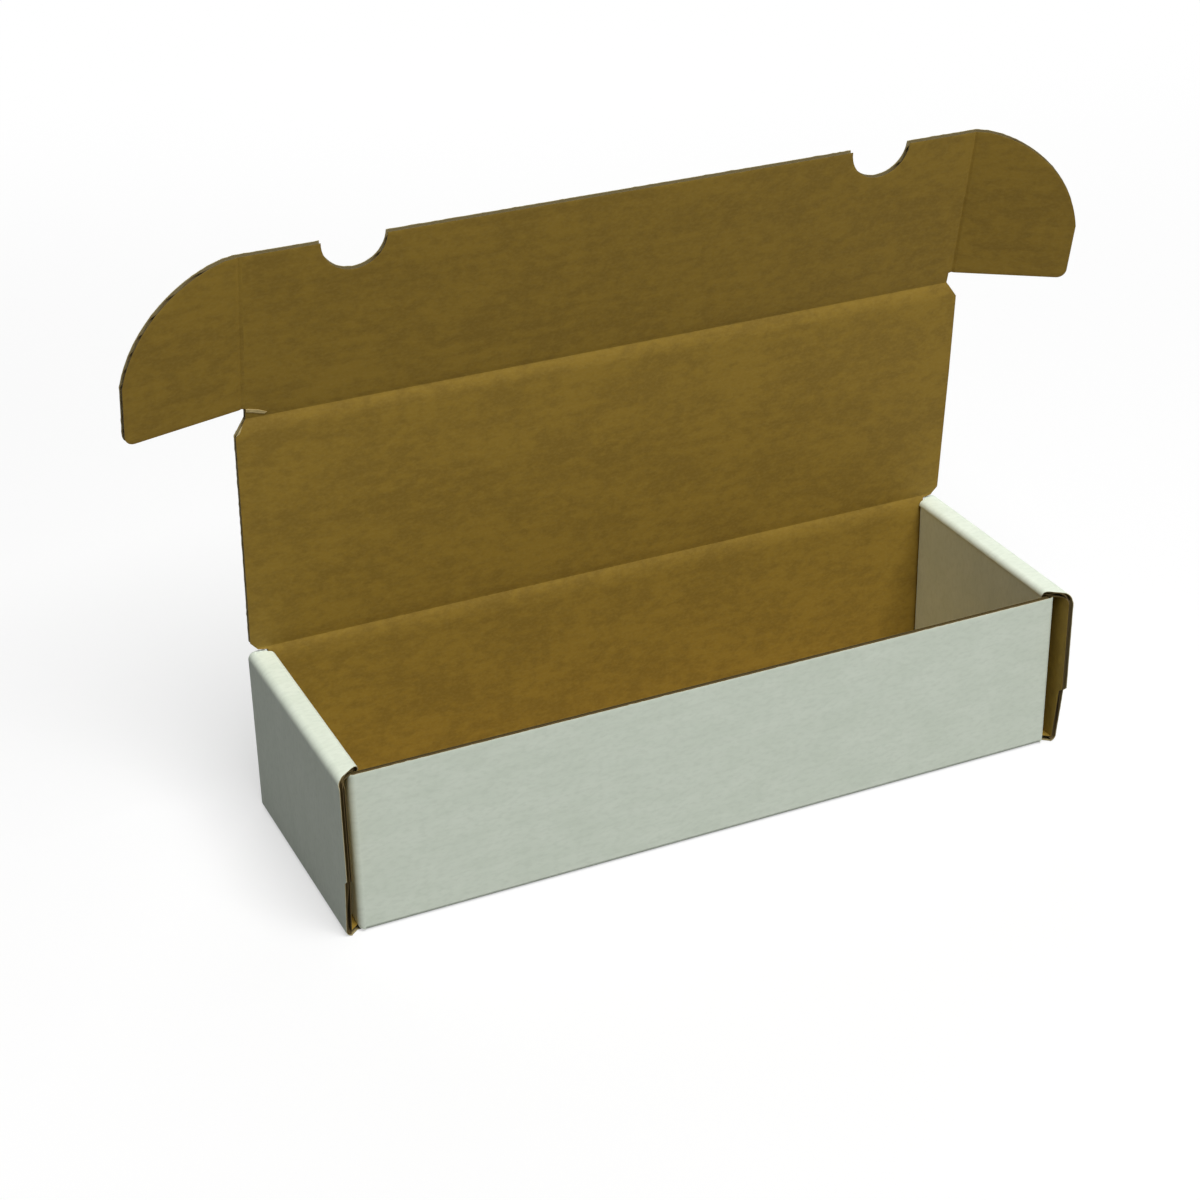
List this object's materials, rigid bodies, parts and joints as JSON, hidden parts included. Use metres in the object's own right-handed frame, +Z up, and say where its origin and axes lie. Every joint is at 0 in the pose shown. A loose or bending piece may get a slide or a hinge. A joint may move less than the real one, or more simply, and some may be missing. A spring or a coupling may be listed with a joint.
{
  "type": "card storage box",
  "caption": "Long low storage box folded from corrugated board, with double end walls and a hinged lid whose front flap has finger notches and tuck-in ears.",
  "frame": {"origin": "middle of the tray's underside, on the table", "axes": "+Z up, +X to the right along the length, +Y from the front wall to the back wall, where the lid is hinged"},
  "size_m": [0.4028, 0.1062, 0.245],
  "materials": {
    "white_faced_board": "matt bleached outer liner",
    "kraft_faced_board": "matt brown kraft inner liner"
  },
  "bodies": {
    "tray": {"base_panel": "white_faced_board", "front_wall": "white_faced_board", "back_wall": "white_faced_board", "left_outer_end": "white_faced_board", "right_outer_end": "white_faced_board", "left_rim_web": "white_faced_board", "right_rim_web": "white_faced_board", "left_inner_end": "white_faced_board", "right_inner_end": "white_faced_board", "front_left_corner_flap": "white_faced_board", "front_right_corner_flap": "white_faced_board", "back_left_corner_flap": "white_faced_board", "back_right_corner_flap": "white_faced_board"},
    "lid": {"lid_panel": "kraft_faced_board"},
    "front_flap": {"lid_front_flap": "kraft_faced_board"},
    "left_ear": {"left_ear": "kraft_faced_board"},
    "right_ear": {"right_ear": "kraft_faced_board"}
  },
  "joints": [
    {"name": "lid_hinge", "type": "hinge", "parent": "tray", "child": "lid", "pos_m": [0, 0.0493, 0.074], "axis": [-1, 0, 0], "range_deg": [-86.3, 93.7]},
    {"name": "flap_hinge", "type": "hinge", "parent": "lid", "child": "front_flap", "pos_m": [0, 0.04273, 0.17559], "axis": [1, 0, 0], "range_deg": [-7.2, 82.8]},
    {"name": "left_ear_hinge", "type": "hinge", "parent": "front_flap", "child": "left_ear", "pos_m": [-0.1554, 0.04273, 0.17559], "axis": [0, -0.1891, 0.982], "range_deg": [-6.9, 79.1]},
    {"name": "right_ear_hinge", "type": "hinge", "parent": "front_flap", "child": "right_ear", "pos_m": [0.1554, 0.04273, 0.17559], "axis": [0, 0.1891, -0.982], "range_deg": [-5.8, 66.1]}
  ],
  "couplings": [
    {"joint": "left_ear_hinge", "follows": "flap_hinge", "ratio": 0.95411},
    {"joint": "right_ear_hinge", "follows": "flap_hinge", "ratio": 0.7971}
  ]
}
